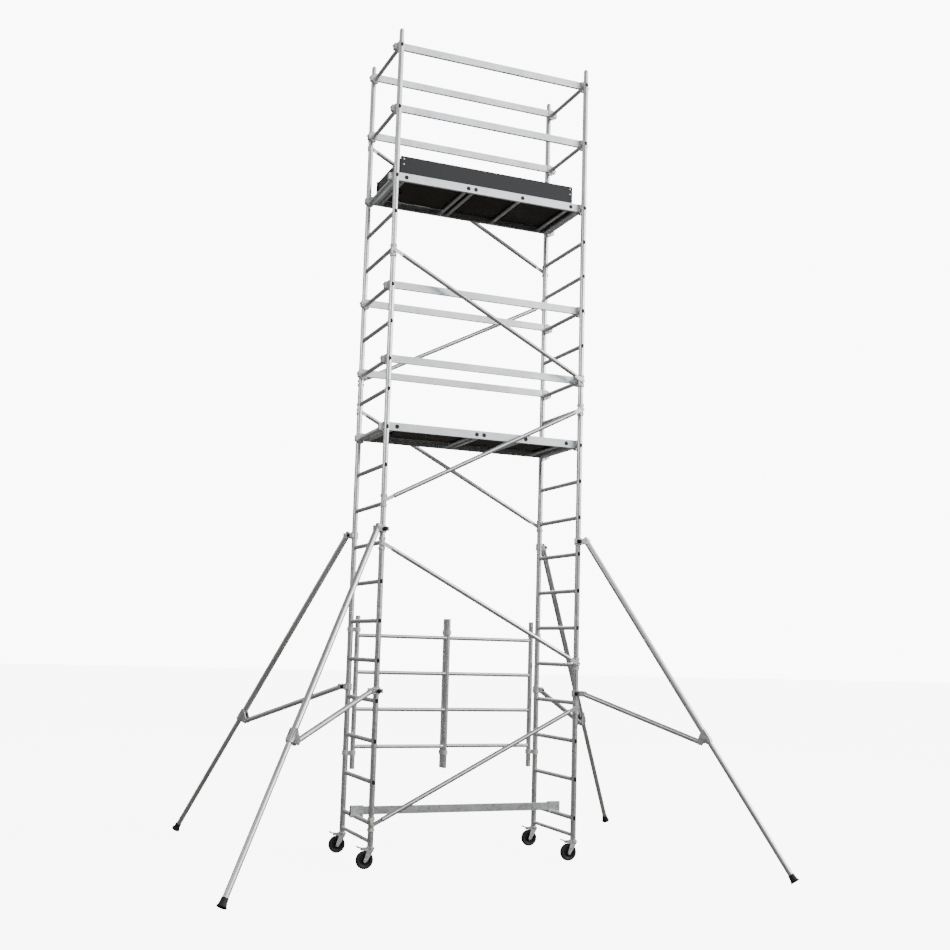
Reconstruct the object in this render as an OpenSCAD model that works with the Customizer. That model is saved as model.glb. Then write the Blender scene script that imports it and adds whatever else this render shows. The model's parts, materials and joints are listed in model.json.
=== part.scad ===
// Mobile access tower: folding base, stacked end frames, two trapdoor decks, four telescopic
// stabilisers and four braked casters.
// Units are mm. +Z is up, X runs along the decks, Y along the ladder rungs. The origin is on the
// floor at the centre of the tower's footprint, and the front of the tower faces -Y.

/* [Tower] */
// distance between the end frames, tube centre to tube centre
tower_length = 1570; // [1300:10:2200]
// distance between front and rear uprights, tube centre to tube centre
tower_width = 690; // [600:10:1000]
// outside diameter of the uprights
upright_d = 42; // [38:0.5:50]
// wall of the uprights, rungs and legs
tube_wall = 2.4; // [1.8:0.1:3.5]

/* [Ladder frames] */
// height of the lowest rung above the floor
first_rung_z = 305; // [290:5:360]
// spacing of the rungs
rung_pitch = 280; // [250:5:300]
// outside diameter of the rungs
rung_d = 32; // [28:0.5:36]
// spacing of the two rungs on either side of the joint under the upper frames
seam_pitch = 226; // [200:2:300]
// height of the knee rail rung above the upper deck's rung
knee_rung_gap = 539; // [450:1:600]
// height of the top rail rung above the knee rail rung
top_rung_gap = 494; // [450:1:550]
// height of a frame's top end above its highest rung
frame_top = 38; // [30:1:60]
// how far the spigots stand up out of the frames
spigot_height = 92; // [60:2:140]

/* [Braces and rails] */
// outside diameter of the diagonal braces
brace_d = 34; // [28:1:38]
// rise of a diagonal brace from claw to claw
brace_rise = 818; // [600:2:840]
// height of the guard rail profile
rail_height = 55; // [40:1:58]
// thickness of the guard rail profile
rail_width = 25; // [20:1:30]

/* [Decks] */
// gap between a deck and the uprights on each side
deck_gap = 19; // [15:1:40]
// height of a deck's side rails
deck_depth = 60; // [56:1:70]
// thickness of the plywood
board_t = 12; // [9:1:15]
// height of the toeboards
toeboard_height = 135; // [100:5:180]
// thickness of the toeboards
toeboard_t = 18; // [15:1:20]

/* [Stabilisers] */
// height of the upper coupler
coupler_z = 2360; // [2350:5:2400]
// height of the lower coupler
low_clamp_z = 1215; // [1200:5:1230]
// angle between a leg and the upright
leg_angle = 33.6; // [28:0.2:36]
// outside diameter of the outer leg tube
leg_d = 45; // [36:0.5:54]
// wall of the outer leg tube
leg_wall = 3.2; // [2:0.1:4]
// distance from the leg's pivot to the end of its collar
collar_end = 1735; // [1500:5:1800]
// outside diameter of the struts
strut_d = 38; // [31:0.5:46]

/* [Casters] */
// diameter of the caster wheels
wheel_d = 125; // [100:1:150]
// width of the tyres
wheel_w = 36; // [30:1:44]
// how far the wheel trails behind the swivel
caster_trail = 38; // [30:1:44]

/* [Hidden] */
$fn = 48;
L2 = tower_length / 2;
W2 = tower_width / 2;
bore_d = upright_d - 2 * tube_wall;
ur = upright_d / 2;
// the uprights' lower ends stand this far above the tyres, and the tie is just above them
caster_head = 25;
frame_bottom = wheel_d + caster_head;
tie_d = 27;
tie_z = frame_bottom + 32;
// uneven rung heights follow the stacked frames
function rung_z(n) =
  n == 0 ? tie_z :
  n <= 12 ? first_rung_z + rung_pitch * (n - 1) :
  n <= 18 ? first_rung_z + rung_pitch * (n - 2) + seam_pitch :
  n == 19 ? rung_z(18) + knee_rung_gap : rung_z(19) + top_rung_gap;
joint_1 = rung_z(6) + frame_top;
joint_2 = rung_z(12) + frame_top;
joint_3 = rung_z(18) + frame_top;
top_end = rung_z(20) + frame_top;
// claws, hooks, rails and decks hang this far above the rung's axis
hang = 15;
claw_y = W2 - ur - 32;
claw_half = 18;
// braces run this far outside the uprights' axes
brace_off = ur + 15;
brace_run = tower_length;
brace_tilt = atan(brace_rise / brace_run);
// stabiliser frame: x points outwards from the upright, y across, z up
pivot_x = 70;
strut_pivot_x = 62;
clear = 0.3;
pin_clear = 0.06;
deck_width = tower_width - upright_d - 2 * deck_gap;
inner_leg_d = leg_d - 2 * leg_wall - 2 * clear;
// wall of the rectangular rails, the base bar and the decks' profiles
profile_wall = 2;
// pins: stabilisers, hatches, axles, brake pedals and caster swivels
hinge_pin_d = 12;
hatch_pin_d = 5;
axle_d = 8;
brake_pin_d = 6;
swivel_d = 20;
// welded and seated parts are drawn this far apart, so each stays a solid of its own
seat = 0.05;
// size of the rungs' flattened ends, which stand a little out of the uprights
rung_flat_w = rung_d - 12;
rung_flat_h = rung_d - 1;
rung_proud = 0.6;
leg_len = (coupler_z - 32.5 * sin(leg_angle)) / cos(leg_angle);
// how far down the leg the strut's pivot is, and how far it stands off the leg's axis
joint_along = collar_end - 35;
joint_in = 58;
// the bore for the cheek pin is wide, as the linkage is left open at that pivot
open_bore_d = 19;
// the struts run on past their pivots by this much, and are closed by end plates
strut_tail = 20;
strut_nose = 18;
end_plate = 4;
q_x = pivot_x + joint_along * sin(leg_angle) - joint_in * cos(leg_angle);
q_z = coupler_z - joint_along * cos(leg_angle) - joint_in * sin(leg_angle);
strut_len = sqrt(pow(q_x - strut_pivot_x, 2) + pow(q_z - low_clamp_z, 2));
strut_dip = atan2(low_clamp_z - q_z, q_x - strut_pivot_x);
coupler_h = 52;
coupler_ring_r = ur + 8;
inner_leg_start = collar_end - 335;
foot_h = 56;
// back panel between the rear base uprights
panel_d = 38;
panel_eye = 54;
panel_step = 27;
panel_x = L2 - sqrt(panel_eye * panel_eye - panel_step * panel_step);
panel_low = 610;
panel_high = 1752;
panel_clamp_z = [727, 1646];
panel_rung_z = [775, 1051, 1327, 1603];
deck_x = L2 - 30;
cross_d = 30;
end_tube_x = deck_x - 65;
board_z = hang + cross_d / 2;
hinge_y = deck_width / 2 - 37;
hinge_z = board_z + board_t - 4;
// uprights in order: front left, front right, rear left, rear right
corner = [[-L2, -W2], [L2, -W2], [-L2, W2], [L2, W2]];
stab_turn = [221.1, -48.5, 128.6, 41.1];
stab_hand = [1, -1, 1, -1];

// a cylinder lying along Y, centred
module rod_y(d, h) {
  rotate([90, 0, 0])
    cylinder(d = d, h = h, center = true);
}

// a cylinder lying along X, centred
module rod_x(d, h) {
  rotate([0, 90, 0])
    cylinder(d = d, h = h, center = true);
}

// a box given by its low and high corners
module span_box(low, high) {
  translate(low)
    cube(high - low);
}

// a flattened round outline, w wide and h tall
module flat_round(w, h) {
  union() {
    square([w, h - w], center = true);
    translate([0, (h - w) / 2])
      circle(d = w);
    translate([0, (w - h) / 2])
      circle(d = w);
  }
}

// a bar of that outline lying along Y, centred
module flat_bar(w, h, len) {
  rotate([90, 0, 0])
    linear_extrude(height = len, center = true)
      flat_round(w, h);
}

// an upright tube with the rungs' flattened ends let through it
module upright(z_low, z_high, first, last) {
  difference() {
    translate([0, 0, z_low])
      cylinder(d = upright_d, h = z_high - z_low);
    translate([0, 0, z_low - 1])
      cylinder(d = bore_d, h = z_high - z_low + 2);
    for (n = [first:last])
      translate([0, 0, rung_z(n)])
        flat_bar(rung_flat_w + 2 * seat, rung_flat_h + 2 * seat, upright_d + 10);
  }
}

// a round rung whose flattened open ends pass through both uprights
module rung() {
  round_half = W2 - ur - 19;
  difference() {
    union() {
      rod_y(rung_d, 2 * round_half);
      flat_bar(rung_flat_w, rung_flat_h, 2 * (W2 + ur + rung_proud));
    }
    rod_y(rung_d - 4, 2 * round_half - 4);
    flat_bar(rung_flat_w - 4, rung_flat_h - 4, 2 * (W2 + ur + 2));
  }
}

// the plain tie near the floor, welded between the uprights
module bottom_tie() {
  difference() {
    rod_y(tie_d, tower_width);
    for (s = [-1, 1])
      translate([0, s * W2, -40])
        cylinder(d = upright_d + 2 * seat, h = 80);
  }
}

// a hollow spigot standing on the joint height: a fixed root, a free part that slides into the
// next frame, and a tapered tip
module spigot(z) {
  root = 18;
  taper = 12;
  free_d = bore_d - 2 * clear;
  difference() {
    union() {
      translate([0, 0, z - root])
        cylinder(d = bore_d - 2 * seat, h = root);
      translate([0, 0, z])
        cylinder(d = free_d, h = spigot_height - taper);
      translate([0, 0, z + spigot_height - taper])
        cylinder(d1 = free_d, d2 = bore_d - 11, h = taper);
    }
    translate([0, 0, z - root - 1])
      cylinder(d = bore_d - 5, h = root + spigot_height - taper);
  }
}

// one welded end frame: two uprights, its rungs and its spigots
module end_frame(side, z_low, z_high, first, last) {
  translate([side * L2, 0, 0]) {
    for (s = [-1, 1])
      translate([0, s * W2, 0]) {
        upright(z_low, z_high, first, last);
        spigot(z_high);
      }
    for (n = [first:last])
      translate([0, 0, rung_z(n)])
        rung();
  }
}

module base_frame_left() {
  color("silver") {
    end_frame(-1, frame_bottom, joint_1, 1, 6);
    translate([-L2, 0, tie_z])
      bottom_tie();
  }
}

module base_frame_right() {
  color("silver") {
    end_frame(1, frame_bottom, joint_1, 1, 6);
    translate([L2, 0, tie_z])
      bottom_tie();
  }
}

module middle_frame_left() {
  color("silver")
    end_frame(-1, joint_1, joint_2, 7, 12);
}

module middle_frame_right() {
  color("silver")
    end_frame(1, joint_1, joint_2, 7, 12);
}

module upper_frame_left() {
  color("silver")
    end_frame(-1, joint_2, joint_3, 13, 18);
}

module upper_frame_right() {
  color("silver")
    end_frame(1, joint_2, joint_3, 13, 18);
}

module guard_frame_left() {
  color("silver")
    end_frame(-1, joint_3, top_end, 19, 20);
}

module guard_frame_right() {
  color("silver")
    end_frame(1, joint_3, top_end, 19, 20);
}

// half of the folding back panel, from x_a to x_b, two uprights and four rungs
module half_panel(x_a, x_b) {
  for (x = [x_a, x_b])
    translate([x, 0, panel_low])
      difference() {
        cylinder(d = panel_d, h = panel_high - panel_low);
        translate([0, 0, -1])
          cylinder(d = panel_d - 2 * tube_wall, h = panel_high - panel_low + 2);
      }
  for (z = panel_rung_z)
    difference() {
      translate([(x_a + x_b) / 2, 0, z])
        rod_x(rung_d - 2, abs(x_b - x_a));
      translate([(x_a + x_b) / 2, 0, z])
        rod_x(rung_d - 6, abs(x_b - x_a) + 2);
      for (x = [x_a, x_b])
        translate([x, 0, z - 40])
          cylinder(d = panel_d + 2 * seat, h = 80);
    }
}

module back_panel_left() {
  color("silver")
    translate([0, W2 - panel_step, 0])
      half_panel(-panel_x, 0);
}

module back_panel_right() {
  color("silver")
    translate([0, W2 + panel_step, 0])
      half_panel(0, panel_x);
}

// a double-eye clamp between tubes of diameters d_a and d_b, a at the origin, b along +X
module twin_eye(d_a, d_b) {
  difference() {
    union() {
      cylinder(d = d_a + 12, h = 34, center = true);
      translate([panel_eye, 0, 0])
        cylinder(d = d_b + 12, h = 34, center = true);
      translate([panel_eye / 2, 0, 0])
        cube([panel_eye, 30, 34], center = true);
    }
    cylinder(d = d_a, h = 40, center = true);
    translate([panel_eye, 0, 0])
      cylinder(d = d_b, h = 40, center = true);
  }
}

module panel_clamps() {
  turn = atan2(panel_step, L2 - panel_x);
  color("gainsboro")
    for (z = panel_clamp_z) {
      translate([-L2, W2, z])
        rotate([0, 0, -turn])
          twin_eye(upright_d, panel_d);
      translate([0, W2 - panel_step, z])
        rotate([0, 0, 90])
          twin_eye(panel_d, panel_d);
      translate([L2, W2, z])
        rotate([0, 0, 180 - turn])
          twin_eye(upright_d, panel_d);
    }
}

// where each brace starts on the left, its lower height, which way it rises, which side it is on
brace_list = [
  [300, 1, -1], [2255 - brace_rise, -1, -1], [2566, 1, -1], [4429 - brace_rise, -1, -1],
  [3350 - brace_rise, -1, 1], [3578, 1, 1], [5508 - brace_rise, -1, 1]
];

// one diagonal: a round tube whose flattened ends lie on the claws' brackets
module brace(low, rise, face) {
  span = sqrt(brace_run * brace_run + brace_rise * brace_rise);
  translate([0, face * (W2 + brace_off), low + brace_rise / 2])
    rotate([0, -rise * brace_tilt, 0])
      difference() {
        union() {
          rod_x(brace_d, span - 150);
          cube([span + 30, 9, brace_d - 6], center = true);
        }
        difference() {
          rod_x(brace_d - 2 * tube_wall, span - 156);
          cube([span, 9, brace_d], center = true);
        }
      }
}

module diagonal_braces() {
  color("silver")
    for (b = brace_list)
      brace(b[0], b[1], b[2]);
}

// a claw round the outside of an upright: two jaws, a spine and a rivet. The tower is towards +Y
module brace_claw() {
  difference() {
    union() {
      for (z = [-36, 36])
        translate([0, 0, z]) {
          cylinder(d = upright_d + 10, h = 18, center = true);
          translate([0, -ur - 2, 0])
            cube([34, 13, 18], center = true);
        }
      translate([0, -ur - 4.5, 0])
        cube([26, 12, 90], center = true);
    }
    cylinder(d = upright_d, h = 100, center = true);
    translate([0, ur + 10, 0])
      cube([2 * ur - 10, 40, 100], center = true);
    // a groove out from the bore clears the rungs' ends at any height
    span_box([-rung_flat_w / 2 - clear, -ur - rung_proud - 2 * clear, -50],
             [rung_flat_w / 2 + clear, 0, 50]);
  }
  translate([0, -brace_off - 4.5 - 2, 0])
    rod_y(14, 4);
}

module brace_claws() {
  color("gainsboro")
    for (b = brace_list)
      for (s = [-1, 1])
        translate([s * L2, b[2] * W2, b[0] + brace_rise / 2 + s * b[1] * brace_rise / 2])
          rotate([0, 0, b[2] > 0 ? 180 : 0])
            brace_claw();
}

// a rectangular tube along X, centred
module box_tube(len, w, h, wall) {
  difference() {
    cube([len, w, h], center = true);
    cube([len + 2, w - 2 * wall, h - 2 * wall], center = true);
  }
}

rail_rungs = [13, 15, 19, 20];

module guard_rails() {
  color("silver")
    for (n = rail_rungs)
      for (s = [-1, 1])
        translate([0, s * claw_y, rung_z(n) + hang])
          box_tube(2 * deck_x, rail_width, rail_height, profile_wall);
}

// a cast hook over a rung with its sliding catch: +X points outwards, past the rung
module hook_casting() {
  mouth = 26;
  difference() {
    rotate([90, 0, 0])
      linear_extrude(height = 2 * claw_half, center = true)
        polygon([[-30, -12], [-30, 43], [-12, 46], [16, 42], [26, 30], [44, 28],
                 [44, -18], [25, -20], [19, -31], [-19, -31], [-25, -12]]);
    rod_y(rung_d, 50);
    translate([0, 0, -20])
      cube([mouth, 50, 40], center = true);
  }
  difference() {
    translate([0, 0, -17])
      cube([mouth - 2 * clear, 24, 34], center = true);
    rod_y(rung_d, 50);
  }
}

// a rail's claw: the casting, the plug inside the rail, which arrives from -X, and a bolt
module claw() {
  plug_gap = 0.2;
  hook_casting();
  translate([-46, 0, hang])
    cube([32, rail_width - 2 * profile_wall - 2 * plug_gap,
          rail_height - 2 * profile_wall - 2 * plug_gap], center = true);
  translate([46, 0, 8])
    rod_x(20, 4);
  translate([50, 0, 8])
    rotate([0, 90, 0])
      cylinder(d = 16, h = 8, center = true, $fn = 6);
}

module rail_claws() {
  color("gainsboro")
    for (n = rail_rungs)
      for (s = [-1, 1])
        for (e = [-1, 1])
          translate([e * L2, s * claw_y, rung_z(n)])
            rotate([0, 0, e > 0 ? 0 : 180])
              claw();
}

// the flat bar on the lowest rungs and its hooked end brackets
bar_h = 57;
bar_z = first_rung_z + rung_d / 2 + bar_h / 2;

module bar_hook() {
  difference() {
    translate([2, 0, bar_z - first_rung_z + 2 - 8])
      cube([96, 32, bar_h + 26], center = true);
    translate([-10, 0, bar_z - first_rung_z])
      cube([130, 25 + 2 * seat, bar_h + 2 * seat], center = true);
    translate([2, 0, -20])
      cube([110, 25, 73], center = true);
    rod_y(rung_d, 60);
    translate([0, 0, -20])
      cube([rung_d - 2, 60, 40], center = true);
  }
}

module base_bar() {
  color("silver") {
    translate([0, 0, bar_z])
      box_tube(2 * L2 + 84, 25, bar_h, profile_wall);
    for (e = [-1, 1])
      translate([e * L2, 0, first_rung_z])
        rotate([0, 0, e > 0 ? 0 : 180])
          bar_hook();
  }
  color("black")
    for (e = [-1, 1])
      translate([e * (L2 + 44 + seat), 0, bar_z])
        cube([4, 24.6, bar_h - 1], center = true);
}

// deck frame: side rails, end beams, cross tubes through the side rails and four hooks
module deck_frame(cross) {
  side_y = deck_width / 2 - 12.5;
  for (s = [-1, 1])
    translate([0, s * side_y, hang])
      difference() {
        box_tube(2 * (deck_x - seat), 25, deck_depth, profile_wall);
        for (x = cross)
          translate([x, 0, 0])
            rod_y(cross_d + 2 * seat, 30);
      }
  for (e = [-1, 1])
    translate([e * (deck_x - 12.5), 0, hang])
      rotate([0, 0, 90])
        box_tube(deck_width - 50 - 2 * seat, 25, deck_depth, profile_wall);
  for (x = cross)
    translate([x, 0, hang])
      difference() {
        rod_y(cross_d, deck_width + 1);
        rod_y(cross_d - 5, deck_width + 4);
      }
  for (e = [-1, 1])
    for (s = [-1, 1])
      translate([e * L2, s * (deck_width / 2 - 13), 0])
        rotate([0, 0, e > 0 ? 0 : 180])
          hook_casting();
}

// the fixed strip, knuckles and pins that a hatch hinges on
module hinge_strip(x_a, x_b) {
  difference() {
    union() {
      span_box([x_a, hinge_y + 6.3, board_z + seat],
               [x_b, deck_width / 2 - 25 - seat, board_z + board_t]);
      for (x = [x_a + 90, x_b - 90])
        for (d = [-31, 31])
          translate([x + d, 0, 0]) {
            translate([0, hinge_y, hinge_z])
              rod_x(10, 20);
            span_box([-10, hinge_y, hinge_z - 2], [10, hinge_y + 8, hinge_z + 4]);
          }
    }
    for (x = [x_a + 90, x_b - 90])
      translate([x, hinge_y, hinge_z])
        rod_x(hatch_pin_d, 90);
  }
  for (x = [x_a + 90, x_b - 90])
    translate([x, hinge_y, hinge_z])
      rod_x(hatch_pin_d, 82);
}

lower_cross = [-end_tube_x, -59, 0, 346, end_tube_x];
upper_cross = [-end_tube_x, -186, -125, 270, end_tube_x];
hatch_start = -end_tube_x - 14;

module lower_deck_frame() {
  color("gainsboro")
    translate([0, 0, rung_z(11)]) {
      deck_frame(lower_cross);
      hinge_strip(hatch_start, -30);
    }
}

module upper_deck_frame() {
  color("gainsboro")
    translate([0, 0, rung_z(18)]) {
      deck_frame(upper_cross);
      hinge_strip(hatch_start, -156);
    }
}

// fixed plywood: a narrow strip at the left end and the long board on the right
module deck_board(x_split) {
  half = deck_width / 2 - 25;
  span_box([-deck_x + 25, -half, board_z], [hatch_start - 1.5, half, board_z + board_t]);
  span_box([x_split + 1.5, -half, board_z], [deck_x - 25, half, board_z + board_t]);
}

module lower_deck_board() {
  color([0.25, 0.17, 0.12])
    translate([0, 0, rung_z(11)])
      deck_board(-30);
}

module upper_deck_board() {
  color([0.25, 0.17, 0.12])
    translate([0, 0, rung_z(18)])
      deck_board(-156);
}

// a hatch: its plywood with a finger slot, hinge knuckles along the rear and a catch underneath
module hatch(x_a, x_b) {
  half = deck_width / 2 - 25;
  difference() {
    union() {
      span_box([x_a, -half + 1.5, board_z + 0.3], [x_b, hinge_y - 6, board_z + board_t]);
      for (x = [x_a + 90, x_b - 90])
        translate([x, 0, 0]) {
          translate([0, hinge_y, hinge_z])
            rod_x(10, 41);
          span_box([-20.5, hinge_y - 7, hinge_z - 2], [20.5, hinge_y, hinge_z + 4]);
        }
    }
    for (x = [x_a + 90, x_b - 90])
      translate([x, hinge_y, hinge_z])
        rod_x(hatch_pin_d + 2 * pin_clear, 60);
    translate([x_a + 70, -half + 60, board_z + 6])
      cube([26, 90, 30], center = true);
  }
  translate([x_a + 62, 60, board_z + 0.3 - 9])
    cube([60, 46, 18], center = true);
}

module lower_hatch() {
  color([0.3, 0.2, 0.14])
    translate([0, 0, rung_z(11)])
      hatch(hatch_start, -30);
}

module upper_hatch() {
  color([0.3, 0.2, 0.14])
    translate([0, 0, rung_z(18)])
      hatch(hatch_start, -156);
}

// four toeboards standing on the upper deck, two bores near each end of the long ones
module toeboards() {
  board_y = deck_width / 2 - 2 - toeboard_t;
  z = rung_z(18) + hang + deck_depth / 2;
  x_a = -deck_x + 17;
  x_b = deck_x - 52;
  color([0.28, 0.29, 0.3]) {
    for (s = [-1, 1])
      difference() {
        translate([x_a, s > 0 ? board_y : -board_y - toeboard_t, z])
          cube([x_b - x_a, toeboard_t, toeboard_height]);
        for (x = [x_a + 22, x_b - 22])
          for (h = [70, 112])
            translate([x, s * (board_y + toeboard_t / 2), z + h])
              rod_y(16, 40);
      }
    for (x = [x_a + 10, x_b - 10 - toeboard_t])
      translate([x, -board_y + seat, z])
        cube([toeboard_t, 2 * (board_y - seat), toeboard_height]);
  }
}

// the plugs pressed into the feet of the uprights and the swivel pins under them
module caster_stem() {
  union() {
    translate([0, 0, frame_bottom])
      cylinder(d = bore_d, h = 16);
    translate([0, 0, frame_bottom - 5])
      cylinder(d = 54, h = 5);
    translate([0, 0, frame_bottom - 19])
      cylinder(d = swivel_d, h = 19);
    translate([0, 0, frame_bottom - 23])
      cylinder(d = swivel_d + 10, h = 5);
  }
}

module caster_stems() {
  color("gainsboro")
    for (c = corner)
      translate([c[0], c[1], 0])
        caster_stem();
}

// caster fork: crown plate, two V cheeks, the axle bolt and the brake's pin. It trails towards -X
cheek_y = wheel_w / 2 + 3.3;
axle_z = wheel_d / 2;
crown_low = frame_bottom - 17.4;
brake_x = -44;
brake_z = frame_bottom - 12;

module fork() {
  difference() {
    union() {
      translate([0, 0, crown_low])
        cylinder(d = 62, h = frame_bottom - 5.4 - crown_low);
      for (s = [-1, 1])
        translate([0, s * (cheek_y + 1.5), 0])
          rotate([90, 0, 0])
            linear_extrude(height = 3, center = true)
              polygon([[-54, frame_bottom - 6], [24, frame_bottom - 6], [20, frame_bottom - 22],
                       [-caster_trail + 13, axle_z - 6], [-caster_trail + 6, axle_z - 14],
                       [-caster_trail - 6, axle_z - 14], [-caster_trail - 13, axle_z - 6],
                       [-30, frame_bottom - 26], [-54, frame_bottom - 20]]);
    }
    translate([0, 0, frame_bottom - 30])
      cylinder(d = swivel_d + 2 * pin_clear, h = 40);
    translate([-caster_trail, 0, axle_z])
      rod_y(axle_d, 80);
    translate([brake_x, 0, brake_z])
      rod_y(brake_pin_d, 80);
  }
  translate([-caster_trail, 0, axle_z]) {
    rod_y(axle_d, 2 * cheek_y + 14);
    for (s = [-1, 1])
      translate([0, s * (cheek_y + 3 + 2.5), 0])
        rotate([90, 0, 0])
          difference() {
            cylinder(d = 15, h = 5, center = true, $fn = 6);
            cylinder(d = axle_d, h = 8, center = true);
          }
  }
  translate([brake_x, 0, brake_z])
    rod_y(brake_pin_d, 2 * cheek_y + 8);
}

// caster wheel: a black tyre on a centre with a bore
module wheel() {
  wheel_r = wheel_d / 2;
  rim_r = wheel_r - 22.5;
  shoulder = wheel_w / 2 - 5;
  translate([-caster_trail, 0, axle_z])
    rotate([90, 0, 0]) {
      rotate_extrude()
        polygon([[rim_r, 3 - wheel_w / 2], [wheel_r - 6.5, -wheel_w / 2], [wheel_r - 2, -shoulder],
                 [wheel_r, -6], [wheel_r, 6], [wheel_r - 2, shoulder],
                 [wheel_r - 6.5, wheel_w / 2], [rim_r, wheel_w / 2 - 3]]);
      difference() {
        union() {
          cylinder(r = rim_r - seat, h = 14, center = true);
          cylinder(d = 30, h = 2 * (cheek_y - clear), center = true);
        }
        cylinder(d = axle_d + 2 * pin_clear, h = 60, center = true);
      }
    }
}

// brake pedal: a barrel on the fork's pin, an arm and a wide tread bar
module brake() {
  translate([brake_x, 0, brake_z])
    difference() {
      union() {
        rod_y(12, 2 * (cheek_y - clear));
        rotate([0, 12, 0])
          translate([-25, 0, 2])
            cube([44, 2 * cheek_y - 6, 5], center = true);
        rotate([0, 12, 0])
          translate([-46, 0, 3])
            rod_y(11, 52);
        span_box([-23, -13, -10], [-9, 13, 3]);
      }
      rod_y(brake_pin_d + 2 * pin_clear, 60);
    }
}

module fork_fl() {
  color("lightgrey")
    translate([-L2, -W2, 0])
      fork();
}

module fork_fr() {
  color("lightgrey")
    translate([L2, -W2, 0])
      fork();
}

module fork_rl() {
  color("lightgrey")
    translate([-L2, W2, 0])
      fork();
}

module fork_rr() {
  color("lightgrey")
    translate([L2, W2, 0])
      fork();
}

module wheel_fl() {
  color([0.1, 0.1, 0.11])
    translate([-L2, -W2, 0])
      wheel();
}

module wheel_fr() {
  color([0.1, 0.1, 0.11])
    translate([L2, -W2, 0])
      wheel();
}

module wheel_rl() {
  color([0.1, 0.1, 0.11])
    translate([-L2, W2, 0])
      wheel();
}

module wheel_rr() {
  color([0.1, 0.1, 0.11])
    translate([L2, W2, 0])
      wheel();
}

module brake_fl() {
  color("lightgrey")
    translate([-L2, -W2, 0])
      brake();
}

module brake_fr() {
  color("lightgrey")
    translate([L2, -W2, 0])
      brake();
}

module brake_rl() {
  color("lightgrey")
    translate([-L2, W2, 0])
      brake();
}

module brake_rr() {
  color("lightgrey")
    translate([L2, W2, 0])
      brake();
}

// places a stabiliser piece at corner i, turned outwards
module at_corner(i) {
  translate([corner[i][0], corner[i][1], 0])
    rotate([0, 0, stab_turn[i]])
      children();
}

// a coupler round the upright with a fork of two ears and a pin, closed by a side bolt and knob
module coupler(z, pin_x, gap, hand) {
  translate([0, 0, z]) {
    difference() {
      union() {
        cylinder(r = coupler_ring_r, h = coupler_h, center = true);
        for (s = [-1, 1])
          translate([(pin_x + 18) / 2 + 6, s * (gap / 2 + 2.5), 0])
            cube([pin_x + 18 - 12, 5, 40], center = true);
        translate([0, hand * (coupler_ring_r + 9), 0])
          cube([26, 24, 30], center = true);
      }
      cylinder(r = ur + clear, h = 60, center = true);
      translate([pin_x, 0, 0])
        rod_y(hinge_pin_d, 90);
    }
    translate([pin_x, 0, 0])
      rod_y(hinge_pin_d, gap + 18);
    translate([24 + seat, hand * (coupler_ring_r + 14), 0])
      rotate([0, 90, 0])
        cylinder(d = 26, h = 22, center = true);
  }
}

// moves to the leg's frame: z runs down the leg from its pivot, x points in towards the tower
module on_leg() {
  translate([pivot_x, 0, coupler_z])
    rotate([0, 180 - leg_angle, 0])
      children();
}

// outer leg tube with its end plug, and the collar whose cheeks hold the strut
module leg() {
  bore = inner_leg_d + 2 * clear;
  on_leg() {
    difference() {
      translate([0, 0, -27])
        cylinder(d = leg_d, h = collar_end + 27);
      translate([0, 0, -18])
        cylinder(d = bore, h = collar_end + 40);
      rod_y(hinge_pin_d + 2 * pin_clear, 90);
    }
    translate([0, 0, -30])
      cylinder(d = leg_d - 1, h = 3);
    difference() {
      union() {
        translate([0, 0, collar_end - 36])
          cylinder(d = leg_d + 9, h = 36);
        for (s = [-1, 1])
          translate([0, s * (strut_d / 2 + 3), joint_along])
            rotate([90, 0, 0])
              linear_extrude(height = 5, center = true)
                polygon([[-20, -40], [-20, 28], [joint_in + 14, 16], [joint_in + 18, 0],
                         [joint_in + 14, -16], [6, -62], [-20, -62]]);
      }
      translate([0, 0, joint_along - 200])
        cylinder(d = leg_d + 2 * seat, h = 400);
      translate([joint_in, 0, joint_along])
        rod_y(hinge_pin_d, 90);
    }
    translate([joint_in, 0, joint_along])
      rod_y(hinge_pin_d, strut_d + 20);
  }
}

// inner leg tube, sliding in the outer one
module inner_leg() {
  on_leg()
    difference() {
      translate([0, 0, inner_leg_start])
        cylinder(d = inner_leg_d, h = leg_len - inner_leg_start - 9);
      translate([0, 0, inner_leg_start - 1])
        cylinder(d = inner_leg_d - 2 * tube_wall, h = leg_len - inner_leg_start - 20);
      translate([0, 0, leg_len - foot_h - 60])
        rod_y(7, 60);
      translate([0, 0, inner_leg_start + 25])
        rod_y(7, 60);
    }
}

// rubber foot, bell shaped, pushed over the inner tube's end
module foot() {
  on_leg()
    translate([0, 0, leg_len])
      rotate([180, 0, 0])
        rotate_extrude()
          polygon([[0, 0], [32.5, 0], [32.5, 7], [28, 12], [24, 30], [22.5, foot_h],
                   [inner_leg_d / 2, foot_h], [inner_leg_d / 2, 9], [0, 9]]);
}

// strut from the low clamp to the leg's cheeks, with plugged ends
module strut() {
  translate([strut_pivot_x, 0, low_clamp_z])
    rotate([0, 90 + strut_dip, 0])
      difference() {
        translate([0, 0, -strut_tail])
          cylinder(d = strut_d, h = strut_len + strut_tail + strut_nose);
        translate([0, 0, end_plate - strut_tail])
          cylinder(d = strut_d - 2 * tube_wall, h = strut_len + strut_tail + strut_nose - 2 * end_plate);
        rod_y(hinge_pin_d + 2 * pin_clear, 90);
        translate([0, 0, strut_len])
          rod_y(open_bore_d, 90);
      }
}

module top_coupler_fl() {
  color("darkgrey")
    at_corner(0)
      coupler(coupler_z, pivot_x, leg_d + 1, stab_hand[0]);
}

module top_coupler_fr() {
  color("darkgrey")
    at_corner(1)
      coupler(coupler_z, pivot_x, leg_d + 1, stab_hand[1]);
}

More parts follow.
